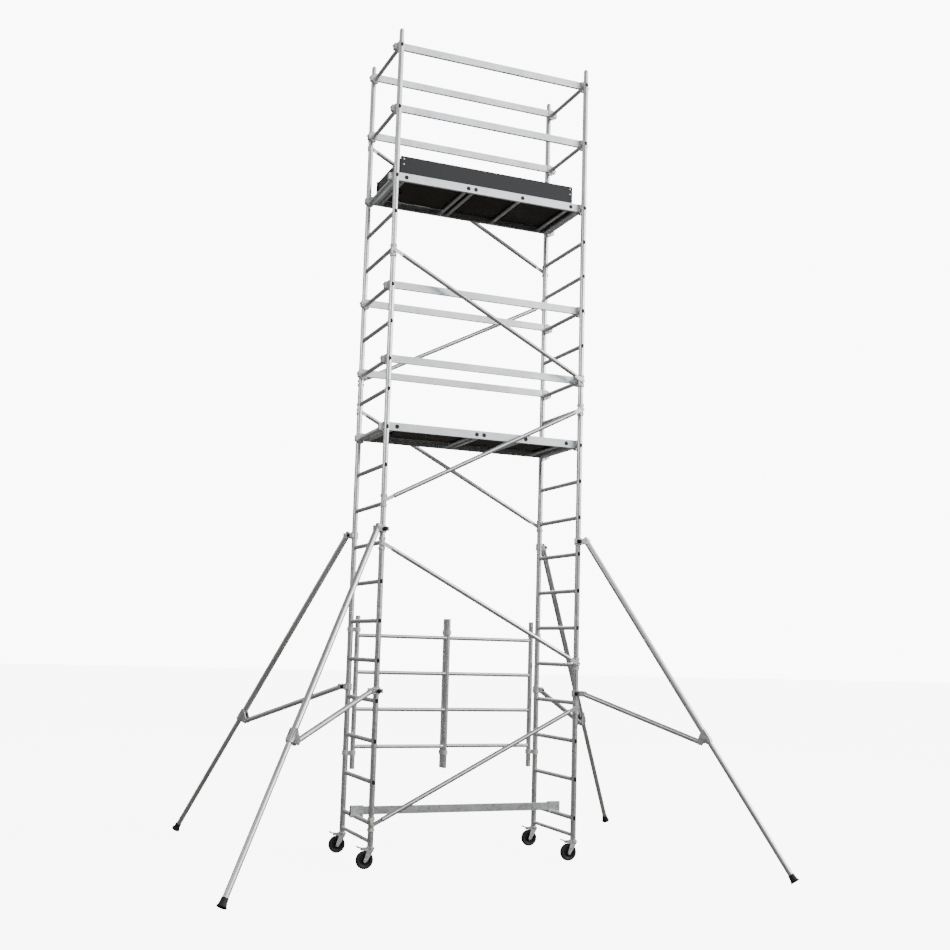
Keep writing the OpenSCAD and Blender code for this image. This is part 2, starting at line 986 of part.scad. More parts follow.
module top_coupler_rl() {
  color("darkgrey")
    at_corner(2)
      coupler(coupler_z, pivot_x, leg_d + 1, stab_hand[2]);
}

module top_coupler_rr() {
  color("darkgrey")
    at_corner(3)
      coupler(coupler_z, pivot_x, leg_d + 1, stab_hand[3]);
}

module leg_fl() {
  color("silver")
    at_corner(0)
      leg();
}

module leg_fr() {
  color("silver")
    at_corner(1)
      leg();
}

module leg_rl() {
  color("silver")
    at_corner(2)
      leg();
}

module leg_rr() {
  color("silver")
    at_corner(3)
      leg();
}

module inner_leg_fl() {
  color("silver")
    at_corner(0)
      inner_leg();
}

module inner_leg_fr() {
  color("silver")
    at_corner(1)
      inner_leg();
}

module inner_leg_rl() {
  color("silver")
    at_corner(2)
      inner_leg();
}

module inner_leg_rr() {
  color("silver")
    at_corner(3)
      inner_leg();
}

module foot_fl() {
  color([0.1, 0.1, 0.1])
    at_corner(0)
      foot();
}

module foot_fr() {
  color([0.1, 0.1, 0.1])
    at_corner(1)
      foot();
}

module foot_rl() {
  color([0.1, 0.1, 0.1])
    at_corner(2)
      foot();
}

module foot_rr() {
  color([0.1, 0.1, 0.1])
    at_corner(3)
      foot();
}

module strut_fl() {
  color("silver")
    at_corner(0)
      strut();
}

module strut_fr() {
  color("silver")
    at_corner(1)
      strut();
}

module strut_rl() {
  color("silver")
    at_corner(2)
      strut();
}

module strut_rr() {
  color("silver")
    at_corner(3)
      strut();
}

module low_clamp_fl() {
  color("darkgrey")
    at_corner(0)
      coupler(low_clamp_z, strut_pivot_x, strut_d + 1, stab_hand[0]);
}

module low_clamp_fr() {
  color("darkgrey")
    at_corner(1)
      coupler(low_clamp_z, strut_pivot_x, strut_d + 1, stab_hand[1]);
}

module low_clamp_rl() {
  color("darkgrey")
    at_corner(2)
      coupler(low_clamp_z, strut_pivot_x, strut_d + 1, stab_hand[2]);
}

module low_clamp_rr() {
  color("darkgrey")
    at_corner(3)
      coupler(low_clamp_z, strut_pivot_x, strut_d + 1, stab_hand[3]);
}

base_frame_left();
base_frame_right();
back_panel_left();
back_panel_right();
panel_clamps();
middle_frame_left();
middle_frame_right();
upper_frame_left();
upper_frame_right();
guard_frame_left();
guard_frame_right();
diagonal_braces();
brace_claws();
guard_rails();
rail_claws();
base_bar();
lower_deck_frame();
upper_deck_frame();
lower_deck_board();
upper_deck_board();
lower_hatch();
upper_hatch();
toeboards();
caster_stems();
fork_fl();
fork_fr();
fork_rl();
fork_rr();
wheel_fl();
wheel_fr();
wheel_rl();
wheel_rr();
brake_fl();
brake_fr();
brake_rl();
brake_rr();
top_coupler_fl();
top_coupler_fr();
top_coupler_rl();
top_coupler_rr();
leg_fl();
leg_fr();
leg_rl();
leg_rr();
inner_leg_fl();
inner_leg_fr();
inner_leg_rl();
inner_leg_rr();
foot_fl();
foot_fr();
foot_rl();
foot_rr();
strut_fl();
strut_fr();
strut_rl();
strut_rr();
low_clamp_fl();
low_clamp_fr();
low_clamp_rl();
low_clamp_rr();
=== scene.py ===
"""Finish of a mobile access tower: metals, castings, casters, plugs and small fittings.

All sizes are in metres, in the tower's own frame: +Z up, X along the decks, Y along the rungs.
"""
import json
import math

import bmesh
import bpy
from mathutils import Matrix, Vector

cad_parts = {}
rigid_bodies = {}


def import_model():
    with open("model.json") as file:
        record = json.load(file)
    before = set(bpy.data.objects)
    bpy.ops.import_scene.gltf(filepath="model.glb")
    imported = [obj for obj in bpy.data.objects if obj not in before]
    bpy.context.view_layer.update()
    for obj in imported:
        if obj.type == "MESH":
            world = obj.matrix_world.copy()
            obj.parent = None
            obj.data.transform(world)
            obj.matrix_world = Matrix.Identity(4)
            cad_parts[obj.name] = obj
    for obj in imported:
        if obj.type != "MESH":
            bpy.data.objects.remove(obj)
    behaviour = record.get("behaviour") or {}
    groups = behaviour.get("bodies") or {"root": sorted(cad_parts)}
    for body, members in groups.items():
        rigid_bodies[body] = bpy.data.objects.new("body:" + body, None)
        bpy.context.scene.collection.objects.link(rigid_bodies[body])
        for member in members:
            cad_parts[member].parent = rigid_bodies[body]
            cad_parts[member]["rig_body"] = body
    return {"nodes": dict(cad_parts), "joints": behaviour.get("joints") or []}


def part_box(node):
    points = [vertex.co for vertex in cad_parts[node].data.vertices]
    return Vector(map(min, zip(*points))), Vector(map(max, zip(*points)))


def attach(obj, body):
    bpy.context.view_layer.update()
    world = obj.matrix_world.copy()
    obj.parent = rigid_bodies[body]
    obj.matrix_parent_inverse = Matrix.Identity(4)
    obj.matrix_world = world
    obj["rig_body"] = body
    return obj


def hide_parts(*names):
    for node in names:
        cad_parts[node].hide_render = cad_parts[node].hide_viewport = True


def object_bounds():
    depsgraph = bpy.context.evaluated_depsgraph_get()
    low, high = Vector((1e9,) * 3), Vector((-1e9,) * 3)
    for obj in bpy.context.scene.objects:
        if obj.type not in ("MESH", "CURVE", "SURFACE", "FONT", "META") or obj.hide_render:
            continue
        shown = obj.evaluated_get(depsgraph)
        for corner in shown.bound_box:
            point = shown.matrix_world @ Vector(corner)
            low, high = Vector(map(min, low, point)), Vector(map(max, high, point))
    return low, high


bl_info = {
    "name": "Access tower finish",
    "version": (1, 0, 0),
    "blender": (4, 5, 0),
    "location": "View3D > Sidebar > Tower",
    "description": "Metals, castings, casters and small fittings for a mobile access tower",
    "category": "Object",
}

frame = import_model()
CAD_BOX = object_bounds()
CORNERS = ("fl", "fr", "rl", "rr")
SIDES = ("left", "right")
# a frame's spigots stand this far above its joint, and its highest rung is this far below it
SPIGOT_HEIGHT = 0.092
FRAME_TOP = 0.038
RUNGS = 6


# ---------------------------------------------------------------- places, worked out from the frame

def corner_point(corner):
    """The foot of the upright at a corner, which its caster swivels about."""
    for joint in frame["joints"]:
        if joint["name"] == "swivel_" + corner:
            return Vector((joint["pos_m"][0], joint["pos_m"][1], 0))
    raise ValueError("no swivel at corner " + corner)


def joint_named(name):
    """The frame's row for a joint."""
    for joint in frame["joints"]:
        if joint["name"] == name:
            return joint
    raise ValueError("no joint named " + name)


def stabiliser_turn(corner):
    """A matrix from the stabiliser's own frame, x outwards from the upright, to the tower's."""
    pivot = Vector(joint_named("leg_fold_" + corner)["pos_m"])
    foot = corner_point(corner)
    angle = math.atan2(pivot.y - foot.y, pivot.x - foot.x)
    return Matrix.Translation(foot) @ Matrix.Rotation(angle, 4, "Z")


def joint_height(level):
    """Height of the upper end of a frame, where the next one stands on it."""
    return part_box(level + "_frame_left")[1].z - SPIGOT_HEIGHT


def rung_heights(finish):
    """Axis heights of all the ladder rungs, from the lowest up."""
    heights = []
    for level in ("base", "middle", "upper"):
        top = joint_height(level) - FRAME_TOP
        heights += [top - finish.rung_pitch * i for i in reversed(range(RUNGS))]
    top = joint_height("guard") - FRAME_TOP
    return heights + [top - finish.top_rung_gap, top]


# ---------------------------------------------------------------- materials

class Finish:
    """One procedural material, and short ways to add nodes to it."""

    def __init__(self, name, metallic=0.0, specular=0.5):
        self.material = bpy.data.materials.new(name)
        self.material.use_nodes = True
        self.nodes = self.material.node_tree.nodes
        self.links = self.material.node_tree.links
        self.shader = self.nodes["Principled BSDF"]
        self.shader.inputs["Metallic"].default_value = metallic
        self.shader.inputs["Specular IOR Level"].default_value = specular
        self.place = self.nodes.new("ShaderNodeTexCoord").outputs["Object"]

    def stretched(self, scale):
        mapping = self.nodes.new("ShaderNodeMapping")
        mapping.inputs["Scale"].default_value = scale
        self.links.new(self.place, mapping.inputs["Vector"])
        return mapping.outputs["Vector"]

    def noise(self, scale, detail=4.0, roughness=0.55, stretch=(1, 1, 1)):
        texture = self.nodes.new("ShaderNodeTexNoise")
        texture.inputs["Scale"].default_value = scale
        texture.inputs["Detail"].default_value = detail
        texture.inputs["Roughness"].default_value = roughness
        self.links.new(self.stretched(stretch), texture.inputs["Vector"])
        return texture.outputs["Fac"]

    def cells(self, scale, stretch=(1, 1, 1)):
        texture = self.nodes.new("ShaderNodeTexVoronoi")
        texture.inputs["Scale"].default_value = scale
        self.links.new(self.stretched(stretch), texture.inputs["Vector"])
        return texture.outputs["Color"], texture.outputs["Distance"]

    def ramp(self, factor, stops):
        node = self.nodes.new("ShaderNodeValToRGB")
        ramp = node.color_ramp
        while len(ramp.elements) < len(stops):
            ramp.elements.new(0.5)
        for element, (place, colour) in zip(ramp.elements, stops):
            element.position = place
            element.color = (*colour, 1)
        self.links.new(factor, node.inputs["Fac"])
        return node.outputs["Color"]

    def span(self, factor, low, high, source=(0.3, 0.7)):
        node = self.nodes.new("ShaderNodeMapRange")
        node.inputs["From Min"].default_value = source[0]
        node.inputs["From Max"].default_value = source[1]
        node.inputs["To Min"].default_value = low
        node.inputs["To Max"].default_value = high
        self.links.new(factor, node.inputs["Value"])
        return node.outputs["Result"]

    def mix(self, factor, first, second, blend="MIX"):
        node = self.nodes.new("ShaderNodeMix")
        node.data_type = "RGBA"
        node.blend_type = blend
        sockets = (node.inputs[0], node.inputs[6], node.inputs[7])
        for socket, value in zip(sockets, (factor, first, second)):
            if isinstance(value, bpy.types.NodeSocket):
                self.links.new(value, socket)
            elif isinstance(value, (int, float)):
                socket.default_value = value
            else:
                socket.default_value = (*value, 1)
        return node.outputs[2]

    def colour(self, socket):
        self.links.new(socket, self.shader.inputs["Base Color"])
        return self

    def roughness(self, socket):
        self.links.new(socket, self.shader.inputs["Roughness"])
        return self

    def bump(self, socket, strength, distance=0.001):
        node = self.nodes.new("ShaderNodeBump")
        node.inputs["Strength"].default_value = strength
        node.inputs["Distance"].default_value = distance
        self.links.new(socket, node.inputs["Height"])
        self.links.new(node.outputs["Normal"], self.shader.inputs["Normal"])
        return self


def shade(colour, factor):
    """A colour made darker or lighter."""
    return tuple(min(1.0, channel * factor) for channel in colour)


def metal(name, colour, rough, grain=(1, 1, 1), scuffs=0.5):
    """Drawn or extruded aluminium: clouded brightness, fine draw lines and dull scuffs."""
    finish = Finish(name, metallic=1.0)
    cloud = finish.noise(5, detail=5)
    lines = finish.noise(420, detail=2, stretch=grain)
    scuff = finish.noise(38, detail=8, roughness=0.7)
    base = finish.ramp(cloud, [(0.3, shade(colour, 0.86)), (0.52, colour),
                               (0.72, shade(colour, 1.06))])
    worn = finish.span(scuff, 0.0, scuffs, source=(0.55, 0.72))
    base = finish.mix(worn, base, shade(colour, 0.66))
    streaks = finish.ramp(lines, [(0.35, (0.4, 0.4, 0.41)), (0.65, (1, 1, 1))])
    base = finish.mix(0.12, base, streaks, "MULTIPLY")
    finish.colour(base)
    finish.roughness(finish.span(scuff, rough, rough + 0.22))
    return finish.bump(lines, 0.08, 0.0004).material


def casting(name, colour):
    """Sand-dull cast aluminium with a faint greenish cream cast and dirt in its pits."""
    finish = Finish(name, metallic=0.75)
    pits = finish.noise(260, detail=6, roughness=0.6)
    cloud = finish.noise(22, detail=4)
    base = finish.ramp(cloud, [(0.3, shade(colour, 0.78)), (0.7, colour)])
    base = finish.mix(finish.span(pits, 0, 0.45, source=(0.58, 0.75)), base, shade(colour, 0.45))
    finish.colour(base)
    finish.roughness(finish.span(pits, 0.42, 0.66))
    return finish.bump(pits, 0.35, 0.0006).material


def zinc(name, colour):
    """Galvanised steel: pale crystal patches of slightly different brightness."""
    finish = Finish(name, metallic=1.0)
    flakes, edge = finish.cells(120)
    speck = finish.noise(300, detail=4)
    base = finish.ramp(flakes, [(0.0, shade(colour, 0.78)), (0.5, colour),
                                (1.0, shade(colour, 1.18))])
    base = finish.mix(finish.span(speck, 0, 0.35, source=(0.6, 0.8)), base, shade(colour, 0.55))
    finish.colour(base)
    finish.roughness(finish.span(flakes, 0.26, 0.5, source=(0, 1)))
    return finish.bump(edge, 0.12, 0.0004).material


def film_ply(name, colour, rough):
    """Film-faced plywood: fine mesh print in the film, cloudy sheen and dusty scratches."""
    finish = Finish(name, specular=0.3)
    edge = finish.cells(520, stretch=(1, 1, 0.05))[1]
    cloud = finish.noise(4.5, detail=5)
    dust = finish.noise(60, detail=8, roughness=0.7, stretch=(0.25, 1, 1))
    base = finish.ramp(cloud, [(0.3, shade(colour, 0.6)), (0.55, colour),
                               (0.75, shade(colour, 1.5))])
    base = finish.mix(finish.span(dust, 0, 0.3, source=(0.6, 0.78)), base, shade(colour, 2.6))
    finish.colour(base)
    finish.roughness(finish.span(cloud, rough, rough + 0.2))
    return finish.bump(edge, 0.25, 0.0003).material


def grey_board(name, colour):
    """Dark toeboard: mottled grey film with short scuffs along the board."""
    finish = Finish(name, specular=0.35)
    mottle = finish.noise(30, detail=8, roughness=0.65)
    scuff = finish.noise(24, detail=8, roughness=0.7, stretch=(0.15, 1, 1))
    base = finish.ramp(mottle, [(0.32, shade(colour, 0.72)), (0.5, colour),
                                (0.7, shade(colour, 1.3))])
    base = finish.mix(finish.span(scuff, 0, 0.4, source=(0.62, 0.78)), base, shade(colour, 2.0))
    finish.colour(base)
    finish.roughness(finish.span(mottle, 0.48, 0.7))
    return finish.bump(mottle, 0.18, 0.0005).material


def dark_polymer(name, colour, rough, dust):
    """Black rubber or plastic: moulded grain, with pale dust where it is handled or rolls."""
    finish = Finish(name, specular=0.4)
    grain = finish.noise(480, detail=4)
    wear = finish.noise(46, detail=7, roughness=0.7)
    base = finish.ramp(grain, [(0.35, shade(colour, 0.8)), (0.65, shade(colour, 1.25))])
    base = finish.mix(finish.span(wear, 0, dust, source=(0.5, 0.75)), base, (0.16, 0.155, 0.15))
    finish.colour(base)
    finish.roughness(finish.span(wear, rough, rough + 0.2))
    return finish.bump(grain, 0.2, 0.0004).material


def make_materials(finish):
    """All the tower's materials by name, from the colours in the panel."""
    tube = tuple(finish.tube_colour)
    zinc_colour = tuple(finish.zinc_colour)
    return {
        "tube": metal("drawn_tube", tube, 0.2),
        "leg_tube": metal("leg_tube", shade(tube, 0.94), 0.24, scuffs=0.6),
        "profile": metal("extruded_profile", (0.70, 0.735, 0.765), 0.24, grain=(0.02, 1, 1),
                         scuffs=0.3),
        "casting": casting("cast_aluminium", tuple(finish.casting_colour)),
        "zinc": zinc("galvanised_steel", zinc_colour),
        "bolt": zinc("zinc_plated_bolt", shade(zinc_colour, 0.82)),
        "ply": film_ply("film_faced_ply", tuple(finish.ply_colour), 0.5),
        "hatch": film_ply("film_faced_hatch", shade(tuple(finish.ply_colour), 1.2), 0.48),
        "toeboard": grey_board("toeboard_film", tuple(finish.toeboard_colour)),
        "tyre": dark_polymer("solid_tyre", (0.012, 0.012, 0.013), 0.45, 0.12),
        "rubber": dark_polymer("foot_rubber", (0.011, 0.011, 0.012), 0.55, 0.2),
        "plastic": dark_polymer("black_plastic", (0.004, 0.004, 0.005), 0.4, 0.02),
    }


MATERIALS = {}


def material(name):
    """A material by its name, with all of them made at the first call."""
    if not MATERIALS:
        MATERIALS.update(make_materials(bpy.context.scene.tower_finish))
    return MATERIALS[name]


# ---------------------------------------------------------------- mesh helpers

SMOOTH_BELOW = math.radians(32)
BEVEL_ABOVE = math.radians(40)
FLAT_BELOW = math.radians(0.5)
WELD = 0.00002
POLE_WELD = 0.00001


def finish_piece(bm, name, body, materials, bevel=0.0, replaced=()):
    """Turns a bmesh into a finished piece that rides on its body."""
    for face in bm.faces:
        face.smooth = True
    for edge in bm.edges:
        edge.smooth = len(edge.link_faces) != 2 or edge.calc_face_angle(0) < SMOOTH_BELOW
    mesh = bpy.data.meshes.new(name)
    bm.to_mesh(mesh)
    bm.free()
    piece = bpy.data.objects.new(name, mesh)
    bpy.context.scene.collection.objects.link(piece)
    for entry in materials:
        mesh.materials.append(material(entry))
    if bevel:
        modifier = piece.modifiers.new("rounded_edges", "BEVEL")
        modifier.width = bevel
        modifier.segments = 2
        modifier.limit_method = "ANGLE"
        modifier.angle_limit = BEVEL_ABOVE
        modifier.harden_normals = True
    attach(piece, body)
    if replaced:
        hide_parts(*replaced)
    return piece


def carried(node, entry):
    """A CAD node whose shape is right keeps its mesh and gets its material."""
    thing = frame["nodes"][node]
    thing.data.materials.clear()
    thing.data.materials.append(material(entry))


def body_of(node):
    """The name of the body that a CAD node belongs to."""
    return frame["nodes"][node]["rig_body"]


def copied(node, name, materials, pick=None, bevel=0.0008):
    """A cleaned copy of a CAD node, with rounded edges and a material for each of its regions."""
    bm = bmesh.new()
    bm.from_mesh(frame["nodes"][node].data)
    bmesh.ops.remove_doubles(bm, verts=bm.verts, dist=WELD)
    bmesh.ops.dissolve_limit(bm, angle_limit=FLAT_BELOW, verts=bm.verts, edges=bm.edges)
    for face in bm.faces:
        face.material_index = pick(face.calc_center_median()) if pick else 0
    return finish_piece(bm, name, body_of(node), materials, bevel, (node,))


def spun(bm, profile, matrix, steps=40, index=0):
    """A ring turned from a closed outline of (radius, height) points."""
    verts = [bm.verts.new(Vector((r, 0, z))) for r, z in profile]
    edges = [bm.edges.new((verts[i], verts[(i + 1) % len(verts)])) for i in range(len(verts))]
    bmesh.ops.spin(bm, geom=verts + edges, cent=(0, 0, 0), axis=(0, 0, 1), angle=math.tau,
                   steps=steps, use_merge=True)
    new = connected(bm, verts[0])
    faces = {face for vert in new for face in vert.link_faces}
    bmesh.ops.recalc_face_normals(bm, faces=list(faces))
    for face in faces:
        face.material_index = index
    bmesh.ops.transform(bm, matrix=matrix, verts=list(new))


def turned(bm, profile, matrix, steps=24):
    """A solid turned from an open outline whose two ends lie on the axis."""
    verts = [bm.verts.new(Vector((r, 0, z))) for r, z in profile]
    edges = [bm.edges.new(pair) for pair in zip(verts, verts[1:])]
    bmesh.ops.spin(bm, geom=verts + edges, cent=(0, 0, 0), axis=(0, 0, 1), angle=math.tau,
                   steps=steps, use_merge=True)
    new = connected(bm, verts[0])
    bmesh.ops.remove_doubles(bm, verts=list(new), dist=POLE_WELD)
    new = connected(bm, next(v for v in new if v.is_valid))
    bmesh.ops.recalc_face_normals(bm, faces=list({f for v in new for f in v.link_faces}))
    bmesh.ops.transform(bm, matrix=matrix, verts=list(new))


def connected(bm, start):
    """All the vertices joined to one by edges."""
    found = {start}
    waiting = [start]
    while waiting:
        for edge in waiting.pop().link_edges:
            for vert in edge.verts:
                if vert not in found:
                    found.add(vert)
                    waiting.append(vert)
    return found


def round_plug(bm, radius, depth, matrix, stretch=0.0):
    """A cap with a shallow dish, facing +Z. The stretch draws it out along its own Y, both ways."""
    segments = 24
    dish = 0.0007
    rim_share = 0.18
    made = bmesh.ops.create_circle(bm, cap_ends=True, segments=segments, radius=radius)
    verts = made["verts"]
    for vert in verts:
        vert.co.y += math.copysign(stretch, vert.co.y)
    face = next(iter({f for v in verts for f in v.link_faces}))
    bmesh.ops.inset_region(bm, faces=[face], thickness=radius * rim_share, depth=0)
    bmesh.ops.translate(bm, verts=face.verts, vec=(0, 0, -dish))
    rim = [e for v in verts for e in v.link_edges if len(e.link_faces) == 1]
    skirt = bmesh.ops.extrude_edge_only(bm, edges=list(set(rim)))
    low = [v for v in skirt["geom"] if isinstance(v, bmesh.types.BMVert)]
    bmesh.ops.translate(bm, verts=low, vec=(0, 0, -depth))
    closing = [e for e in {e for v in low for e in v.link_edges} if len(e.link_faces) == 1]
    bmesh.ops.contextual_create(bm, geom=closing)
    new = connected(bm, verts[0])
    bmesh.ops.recalc_face_normals(bm, faces=list({f for v in new for f in v.link_faces}))
    bmesh.ops.transform(bm, matrix=matrix, verts=list(new))


def facing(direction):
    """Turns +Z to a direction along X or Y, keeping the plug's long side upright."""
    forward = Vector(direction)
    up = Vector((0, 0, 1))
    side = up.cross(forward).normalized()
    return Matrix((side, up, forward)).transposed().to_4x4()


# ---------------------------------------------------------------- settings

def size(name, description, default):
    """A length setting in metres."""
    return bpy.props.FloatProperty(name=name, description=description, default=default,
                                   unit="LENGTH", precision=4)


def tint(name, description, default):
    """A colour setting."""
    return bpy.props.FloatVectorProperty(name=name, description=description, default=default,
                                         subtype="COLOR", size=3, min=0, max=1)


class TowerFinish(bpy.types.PropertyGroup):
    """Colours and small sizes of the tower's finish."""
    tube_colour: tint("Tube", "Colour of the drawn aluminium tubes", (0.78, 0.79, 0.80))
    casting_colour: tint("Casting", "Colour of the cast claws", (0.78, 0.80, 0.76))
    zinc_colour: tint("Zinc", "Colour of the galvanised steel", (0.72, 0.75, 0.76))
    ply_colour: tint("Plywood", "Colour of the film on the decks", (0.020, 0.014, 0.011))
    toeboard_colour: tint("Toeboard", "Colour of the toeboards", (0.034, 0.036, 0.040))
    upright_radius: size("Upright radius", "Outside radius of the uprights", 0.021)
    rung_pitch: size("Rung pitch", "Spacing of the rungs in one frame", 0.28)
    top_rung_gap: size("Top rung gap", "Spacing of the two guard rungs", 0.494)
    crimp_relief: size("Crimp relief", "How far the crimped bands stand out", 0.0006)
    crimp_length: size("Crimp length", "Height of the crimped band above a joint", 0.040)


class TowerStage(bpy.types.PropertyGroup):
    """Camera, floor and light."""
    lens: bpy.props.FloatProperty(name="Lens", description="Focal length", default=46.67,
                                  unit="CAMERA")
    floor_size: size("Floor size", "Side of the floor", 120.0)
    floor_colour: tint("Floor", "Colour of the floor", (0.86, 0.86, 0.86))
    floor_glow: bpy.props.FloatProperty(name="Floor glow", description="How white the floor looks",
                                        default=7.5)
    backdrop: bpy.props.FloatProperty(name="Backdrop", description="Brightness seen behind",
                                      default=10.0)
    surround: bpy.props.FloatProperty(name="Surround", description="Brightness reflected",
                                      default=3.2)


# ---------------------------------------------------------------- operators

class PieceOperator:
    """What the tower's piece operators share."""
    bl_options = {"REGISTER", "UNDO"}

    def execute(self, context):
        self.build(context.scene.tower_finish)
        return {"FINISHED"}


class TOWER_OT_frames(PieceOperator, bpy.types.Operator):
    """Ladder frames, their crimped joints and the black caps on their rungs' ends"""
    bl_idname = "tower.frames"
    bl_label = "Ladder frames"
    CAP_RADIUS = 0.0104
    CAP_STRETCH = 0.0054
    CAP_PROUD = 0.0018
    CAP_DEPTH = 0.0046
    # the bright ring at a joint, as (outwards from the upright, height), and where the band starts
    RING = ((0, -0.0015), (0.0007, -0.0011), (0.0009, 0), (0.0007, 0.0011), (0, 0.0015))
    RING_CLEAR = 0.00005
    BAND_START = 0.007
    BAND_STEPS = 30
    GROOVES = 3
    GROOVE_DEPTH = 0.85
    END_SLOPE = 12

    def build(self, finish):
        for level in ("base", "middle", "upper", "guard"):
            for side in SIDES:
                carried(f"{level}_frame_{side}", "tube")
        self.crimps(finish)
        self.plugs(finish)

    def crimps(self, finish):
        """A bright ring at each joint and a band with three rounded grooves above it."""
        bm = bmesh.new()
        inner = finish.upright_radius + self.RING_CLEAR
        for level in ("base", "middle", "upper"):
            height = joint_height(level)
            for corner in CORNERS:
                place = Matrix.Translation(corner_point(corner) + Vector((0, 0, height)))
                outer = []
                for i in range(self.BAND_STEPS + 1):
                    along = i / self.BAND_STEPS
                    groove = max(0.0, math.cos(along * math.tau * self.GROOVES)) ** 2
                    edge = min(1.0, self.END_SLOPE * min(along, 1 - along))
                    cut = self.GROOVE_DEPTH * (1 - groove) ** 3
                    relief = finish.crimp_relief * edge * (1 - cut)
                    outer.append((inner + relief, self.BAND_START + finish.crimp_length * along))
                low = (inner, outer[0][1])
                high = (inner, outer[-1][1])
                spun(bm, [low] + outer[1:-1] + [high], place)
                spun(bm, [(inner + out, z) for out, z in self.RING], place)
        finish_piece(bm, "joint_crimps", "tower", ["tube"])

    def plugs(self, finish):
        """Oval black caps over the flattened ends of the rungs, just outside the uprights."""
        bm = bmesh.new()
        for height in rung_heights(finish):
            for corner in CORNERS:
                foot = corner_point(corner)
                out = math.copysign(1, foot.y)
                place = foot + Vector((0, out * (finish.upright_radius + self.CAP_PROUD), height))
                round_plug(bm, self.CAP_RADIUS, self.CAP_DEPTH,
                           Matrix.Translation(place) @ facing((0, out, 0)), self.CAP_STRETCH)
        finish_piece(bm, "rung_plugs", "tower", ["plastic"])


class TOWER_OT_back_panel(PieceOperator, bpy.types.Operator):
    """Folding back panel and its hinge clamps"""
    bl_idname = "tower.back_panel"
    bl_label = "Back panel"

    def build(self, finish):
        for side in SIDES:
            carried("back_panel_" + side, "tube")
        copied("panel_clamps", "hinge_clamps", ["casting"], bevel=0.0022)


class TOWER_OT_braces(PieceOperator, bpy.types.Operator):
    """Diagonal braces and their claws"""
    bl_idname = "tower.braces"
    bl_label = "Braces"

    def build(self, finish):
        carried("diagonal_braces", "tube")
        copied("brace_claws", "brace_castings", ["casting"], bevel=0.0016)


class TOWER_OT_rails(PieceOperator, bpy.types.Operator):
    """Guard rails, their claws and bolts"""
    bl_idname = "tower.rails"
    bl_label = "Guard rails"
    BOLT_FROM = 0.0445

    def build(self, finish):
        carried("guard_rails", "profile")
        upright_x = corner_point("fr").x

        def pick(point):
            return 1 if abs(point.x) - upright_x > self.BOLT_FROM else 0
        copied("rail_claws", "rail_castings", ["casting", "bolt"], pick, bevel=0.0022)


class TOWER_OT_base_bar(PieceOperator, bpy.types.Operator):
    """Flat bar on the lowest rungs, its brackets and black end caps"""
    bl_idname = "tower.base_bar"
    bl_label = "Base bar"
    CAP_THICKNESS = 0.0065
    BAR_HALF = 0.0127
    BAR_END = 0.0445

    def build(self, finish):
        cap_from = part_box("base_bar")[1].x - self.CAP_THICKNESS
        bar_end = corner_point("fr").x + self.BAR_END

        def pick(point):
            if abs(point.x) > cap_from:
                return 2
            return 1 if abs(point.y) > self.BAR_HALF or abs(point.x) > bar_end else 0
        copied("base_bar", "flat_base_bar", ["profile", "zinc", "plastic"], pick,
               bevel=0.0012)


class TOWER_OT_decks(PieceOperator, bpy.types.Operator):
    """Deck frames, boards, hatches, and the pads and plugs of the cross tubes"""
    bl_idname = "tower.decks"
    bl_label = "Decks"
    CROSS_RADIUS = 0.015
    CAP_RADIUS = 0.0163
    CAP_PROUD = 0.0016
    CAP_DEPTH = 0.0014
    SIDE_RAIL = 0.025
    CATCH_BELOW = 0.0005
    CROSS_TUBES = {"lower": (-0.69, -0.059, 0.0, 0.346, 0.69),
                   "upper": (-0.69, -0.186, -0.125, 0.27, 0.69)}

    def build(self, finish):
        plugs = bmesh.new()
        for level in ("lower", "upper"):
            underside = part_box(level + "_deck_board")[0].z
            copied(level + "_deck_frame", level + "_deck_rails", ["profile"],
                   bevel=0.0012)
            carried(level + "_deck_board", "ply")

            def pick(point, underside=underside):
                return 1 if point.z < underside - self.CATCH_BELOW else 0
            copied(level + "_hatch", level + "_trapdoor", ["hatch", "plastic"], pick)
            self.plugs(plugs, level, underside)
        finish_piece(plugs, "cross_tube_caps", "tower", ["plastic"])

    def plugs(self, bm, level, underside):
        """Black caps over both ends of each cross tube, a little proud of the side rails."""
        height = underside - self.CROSS_RADIUS
        half = self.deck_half()
        for x in self.CROSS_TUBES[level]:
            for out in (-1, 1):
                place = Matrix.Translation((x, out * (half + self.CAP_PROUD), height))
                round_plug(bm, self.CAP_RADIUS, self.CAP_DEPTH, place @ facing((0, out, 0)))

    def deck_half(self):
        """Half the width across a deck's side rails, from the board between them."""
        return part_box("upper_deck_board")[1].y + self.SIDE_RAIL


class TOWER_OT_toeboards(PieceOperator, bpy.types.Operator):
    """Toeboards of the upper deck"""
    bl_idname = "tower.toeboards"
    bl_label = "Toeboards"
    BOLT_INSET = 0.022
    BOLT_HEIGHTS = (0.070, 0.112)
    DOME = ((0, 0.0042), (0.0035, 0.0039), (0.0065, 0.0028), (0.0084, 0.0008),
            (0.0084, 0), (0.0078, -0.0005), (0.0078, -0.016), (0, -0.016))

    def build(self, finish):
        copied("toeboards", "toe_boards", ["toeboard"], bevel=0.0012)
        self.bolts()

    def bolts(self):
        """Domed bolts in the bores near the long boards' ends."""
        low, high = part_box("toeboards")
        bm = bmesh.new()
        for x in (low.x + self.BOLT_INSET, high.x - self.BOLT_INSET):
            for z in self.BOLT_HEIGHTS:
                for out, face in ((-1, low.y), (1, high.y)):
                    place = Matrix.Translation((x, face, low.z + z)) @ facing((0, out, 0))
                    turned(bm, self.DOME, place)
        finish_piece(bm, "toeboard_bolts", "tower", ["bolt"])


